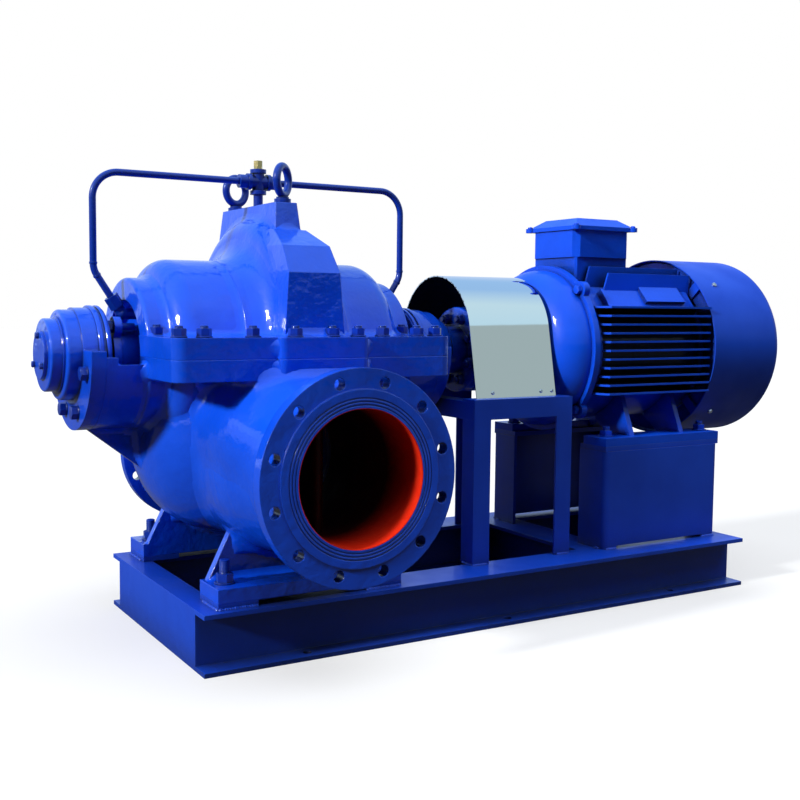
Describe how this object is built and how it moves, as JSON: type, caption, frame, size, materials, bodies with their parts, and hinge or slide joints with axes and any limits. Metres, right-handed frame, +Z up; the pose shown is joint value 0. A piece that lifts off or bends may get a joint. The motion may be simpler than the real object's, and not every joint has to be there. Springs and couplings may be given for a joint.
{
  "type": "split_case_pump_set",
  "caption": "Horizontal split case pump coupled to a finned electric motor on a welded steel base frame, glossy blue, with side nozzles and a polished coupling guard.",
  "frame": {"origin": "middle of the base frame's underside, on the floor", "axes": "+X along the shaft from pump to motor, +Y to the discharge side, +Z up"},
  "size_m": [1.8385, 0.917, 0.99],
  "materials": {
    "blue_enamel": "gloss",
    "shaft_steel": "satin",
    "polished_stainless": "polished",
    "brass": "satin",
    "fan_plastic": "matte"
  },
  "bodies": {
    "pump_set": {"rail_front": "blue_enamel", "rail_rear": "blue_enamel", "end_channel_left": "blue_enamel", "end_channel_right": "blue_enamel", "cross_beam": "blue_enamel", "pump_pads": "blue_enamel", "lower_casing": "blue_enamel", "upper_casing": "blue_enamel", "bearing_housing_left": "blue_enamel", "bearing_housing_right": "blue_enamel", "bearing_cover_left": "blue_enamel", "bearing_cover_right": "blue_enamel", "gland_left": "blue_enamel", "gland_right": "blue_enamel", "coupling_guard": "polished_stainless", "guard_stand_front": "blue_enamel", "guard_stand_rear": "blue_enamel", "guard_stand_tie": "blue_enamel", "pedestal_front": "blue_enamel", "pedestal_rear": "blue_enamel", "pedestal_plates": "blue_enamel", "motor_frame": "blue_enamel", "motor_feet": "blue_enamel", "motor_shield_drive": "blue_enamel", "motor_shield_fan": "blue_enamel", "fan_cover": "blue_enamel", "terminal_box": "blue_enamel", "terminal_lid": "blue_enamel", "terminal_plugs": "blue_enamel", "flush_pipe_left": "blue_enamel", "flush_pipe_right": "blue_enamel", "flush_elbow_left": "blue_enamel", "flush_elbow_right": "blue_enamel", "cross_fitting": "blue_enamel", "vent_plug": "brass", "eye_bolt_front": "blue_enamel", "eye_bolt_rear": "blue_enamel"},
    "rotor": {"pump_shaft": "shaft_steel", "coupling_pump_half": "blue_enamel", "coupling_motor_half": "blue_enamel", "motor_shaft": "shaft_steel", "motor_fan": "fan_plastic"}
  },
  "joints": [
    {"name": "shaft_rotation", "type": "hinge", "parent": "pump_set", "child": "rotor", "pos_m": [0, 0, 0.588], "axis": [1, 0, 0], "continuous": true}
  ]
}
